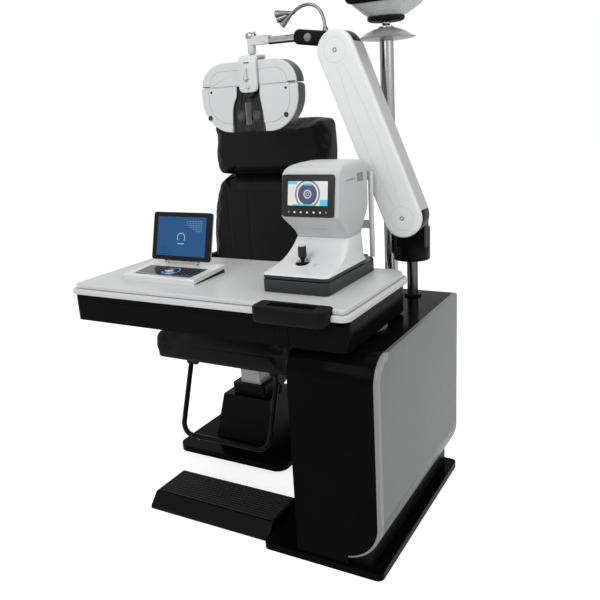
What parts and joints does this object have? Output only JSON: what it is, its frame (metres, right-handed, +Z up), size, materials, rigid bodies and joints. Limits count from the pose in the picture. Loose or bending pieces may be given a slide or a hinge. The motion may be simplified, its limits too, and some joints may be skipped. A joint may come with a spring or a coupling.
{
  "type": "ophthalmic examination chair",
  "caption": "Combined ophthalmic examination chair and instrument stand with swing table, refractor arm, auto-refractor, control panel and chart projector",
  "frame": {"origin": "centre of the floor plate's underside", "axes": "+X to the operator's right, +Y towards the back of the cabinet, +Z up"},
  "size_m": [1.195, 1.0716, 1.738],
  "materials": {
    "floor_steel": "black gloss powder coat",
    "step_plastic": "dark grey moulding",
    "step_rubber": "ribbed",
    "casing_plastic": "black moulding, satin",
    "column_enamel": "light grey enamel",
    "actuator_steel": "machined",
    "cabinet_gloss": "black high gloss",
    "panel_silver": "silver-grey satin paint",
    "frame_black": "black satin",
    "seat_casting": "black powder-coated casting",
    "back_shell": "black moulded back shell",
    "pivot_steel": "grey enamel",
    "pole_grey": "dark grey satin",
    "pole_chrome": "polished",
    "tray_silver": "satin",
    "upholstery": "black leatherette over foam",
    "armrest_skin": "black integral-skin moulding",
    "table_white": "white high gloss",
    "apron_black": "black gloss",
    "handle_black": "black satin",
    "device_dark": "dark grey",
    "device_light": "light grey",
    "slide_steel": "ground",
    "boot_rubber": "bellows",
    "stick_black": "black",
    "button_light": "light grey cap",
    "device_screen": "black bezel and lit screen",
    "rest_white": "white",
    "panel_white": "white",
    "dial_silver": "turned",
    "tablet_silver": "silver-grey",
    "tablet_screen": "lit blue screen",
    "arm_black": "black gloss",
    "arm_white": "white gloss",
    "arm_side": "light grey gloss",
    "arm_steel": "grey primer",
    "lamp_chrome": "polished",
    "bar_steel": "satin",
    "phoropter_white": "white grey",
    "lens_black": "black",
    "projector_white": "white"
  },
  "bodies": {
    "stand": {"base_plate": "floor_steel", "footstep_casing": "step_plastic", "footstep_tread": "step_rubber", "chair_plate": "floor_steel", "chair_casing": "casing_plastic", "lift_actuator": "actuator_steel", "cabinet_shell": "cabinet_gloss", "cabinet_side_panel": "panel_silver", "cabinet_plinth": "frame_black", "cabinet_back_panel": "cabinet_gloss", "pivot_column": "pivot_steel", "arm_pole": "pole_grey", "chart_pole": "pole_chrome", "pole_flanges": "pole_chrome", "chart_tray": "tray_silver"},
    "chair": {"lift_column": "column_enamel", "seat_frame": "seat_casting", "seat_cushion": "upholstery", "back_frame": "back_shell", "backrest_cushion": "upholstery", "headrest_cushion": "upholstery"},
    "footrest": {"footrest_tube": "frame_black"},
    "left_rest": {"left_armrest": "armrest_skin"},
    "right_rest": {"right_armrest": "armrest_skin"},
    "table": {"table_top": "table_white", "table_apron": "apron_black", "table_spindle": "pivot_steel", "handle_tray": "handle_black", "ar_base": "device_dark", "chinrest": "rest_white", "panel_base": "panel_white"},
    "drawer": {"lens_drawer": "apron_black"},
    "carriage": {"ar_carriage": "slide_steel"},
    "stage": {"ar_stage_cover": "device_light", "joystick_boot": "boot_rubber"},
    "gimbal": {"joystick_gimbal": "slide_steel"},
    "stick": {"joystick": "stick_black"},
    "button": {"joystick_button": "button_light"},
    "refractor_head": {"ar_head_shell": "device_light", "ar_display": "device_screen"},
    "screen": {"screen_housing": "tablet_silver", "screen_display": "tablet_screen"},
    "dial": {"panel_dial": "dial_silver"},
    "swivel": {"swivel_block": "arm_black"},
    "arm": {"arm_cover_front": "arm_white", "arm_cover_rear": "arm_side", "arm_beam": "arm_steel"},
    "arm_head": {"head_link": "arm_black", "lamp_gooseneck": "lamp_chrome", "lamp_head": "lamp_chrome"},
    "hanger": {"phoropter_bar": "bar_steel"},
    "phoropter": {"hanger_rod": "bar_steel", "phoropter_bracket": "phoropter_white", "phoropter_beam": "phoropter_white"},
    "left_head": {"left_head_case": "phoropter_white", "left_eyepiece": "lens_black"},
    "right_head": {"right_head_case": "phoropter_white", "right_eyepiece": "lens_black"},
    "chart_neck": {"projector_neck": "tray_silver"},
    "projector": {"projector_body": "projector_white"}
  },
  "joints": [
    {"name": "chair_lift", "type": "slide", "parent": "stand", "child": "chair", "axis": [0, 0, 1], "range_m": [-0.05, 0.14]},
    {"name": "footrest_fold", "type": "hinge", "parent": "chair", "child": "footrest", "pos_m": [-0.6145, 0.139, 0.362], "axis": [1, 0, 0], "range_deg": [-60, 0]},
    {"name": "left_armrest_fold", "type": "hinge", "parent": "chair", "child": "left_rest", "pos_m": [-0.6145, 0.6386, 0.694], "axis": [1, 0, 0], "range_deg": [-95, 0]},
    {"name": "right_armrest_fold", "type": "hinge", "parent": "chair", "child": "right_rest", "pos_m": [-0.6145, 0.6386, 0.694], "axis": [1, 0, 0], "range_deg": [-95, 0]},
    {"name": "table_swing", "type": "hinge", "parent": "stand", "child": "table", "pos_m": [0.0475, -0.091, 0.67], "axis": [0, 0, 1], "range_deg": [0, 90]},
    {"name": "drawer_slide", "type": "slide", "parent": "table", "child": "drawer", "axis": [0, -1, 0], "range_m": [0, 0.22]},
    {"name": "ar_side", "type": "slide", "parent": "table", "child": "carriage", "axis": [1, 0, 0], "range_m": [-0.04, 0.04]},
    {"name": "ar_forward", "type": "slide", "parent": "carriage", "child": "stage", "axis": [0, 1, 0], "range_m": [-0.015, 0.015]},
    {"name": "ar_height", "type": "slide", "parent": "stage", "child": "refractor_head", "axis": [0, 0, 1], "range_m": [0, 0.03]},
    {"name": "stick_forward", "type": "hinge", "parent": "stage", "child": "gimbal", "pos_m": [-0.1125, -0.161, 0.8462], "axis": [1, 0, 0], "range_deg": [-12, 12]},
    {"name": "stick_side", "type": "hinge", "parent": "gimbal", "child": "stick", "pos_m": [-0.1125, -0.161, 0.8462], "axis": [0, 1, 0], "range_deg": [-12, 12]},
    {"name": "stick_button", "type": "slide", "parent": "stick", "child": "button", "axis": [0, 0, 1], "range_m": [-0.001, 0], "stiffness_N_per_m": 400, "springref_m": 0.0005},
    {"name": "screen_tilt", "type": "hinge", "parent": "table", "child": "screen", "pos_m": [-0.5935, -0.126, 0.835], "axis": [1, 0, 0], "range_deg": [-20, 40]},
    {"name": "dial_turn", "type": "hinge", "parent": "table", "child": "dial", "pos_m": [-0.583, -0.203, 0.825], "axis": [0, 0, 1], "continuous": true},
    {"name": "arm_swivel", "type": "hinge", "parent": "stand", "child": "swivel", "pos_m": [0.0665, 0.279, 0.85], "axis": [0, 0, 1], "range_deg": [-5, 95]},
    {"name": "arm_lift", "type": "hinge", "parent": "swivel", "child": "arm", "pos_m": [0.0888, 0.1812, 0.958], "axis": [0, 1, 0], "range_deg": [-14, 14]},
    {"name": "head_level", "type": "hinge", "parent": "arm", "child": "arm_head", "pos_m": [-0.12113, 0.1812, 1.475], "axis": [0, 1, 0], "range_deg": [-14, 14]},
    {"name": "bar_slide", "type": "slide", "parent": "arm_head", "child": "hanger", "axis": [1, 0, 0], "range_m": [-0.05, 0.05]},
    {"name": "phoropter_turn", "type": "hinge", "parent": "hanger", "child": "phoropter", "pos_m": [-0.455, 0.185, 1.52], "axis": [0, 0, 1], "range_deg": [-60, 60]},
    {"name": "pd_left", "type": "slide", "parent": "phoropter", "child": "left_head", "axis": [-1, 0, 0], "range_m": [-0.006, 0.008]},
    {"name": "pd_right", "type": "slide", "parent": "phoropter", "child": "right_head", "axis": [1, 0, 0], "range_m": [-0.006, 0.008]},
    {"name": "projector_pan", "type": "hinge", "parent": "stand", "child": "chart_neck", "pos_m": [-0.027, 0.322, 1.55], "axis": [0, 0, 1], "range_deg": [-45, 45]},
    {"name": "projector_tilt", "type": "hinge", "parent": "chart_neck", "child": "projector", "pos_m": [-0.027, 0.322, 1.556], "axis": [1, 0, 0], "range_deg": [-8, 8]}
  ],
  "couplings": [
    {"joint": "head_level", "follows": "arm_lift", "ratio": -1},
    {"joint": "pd_right", "follows": "pd_left", "ratio": 1}
  ]
}
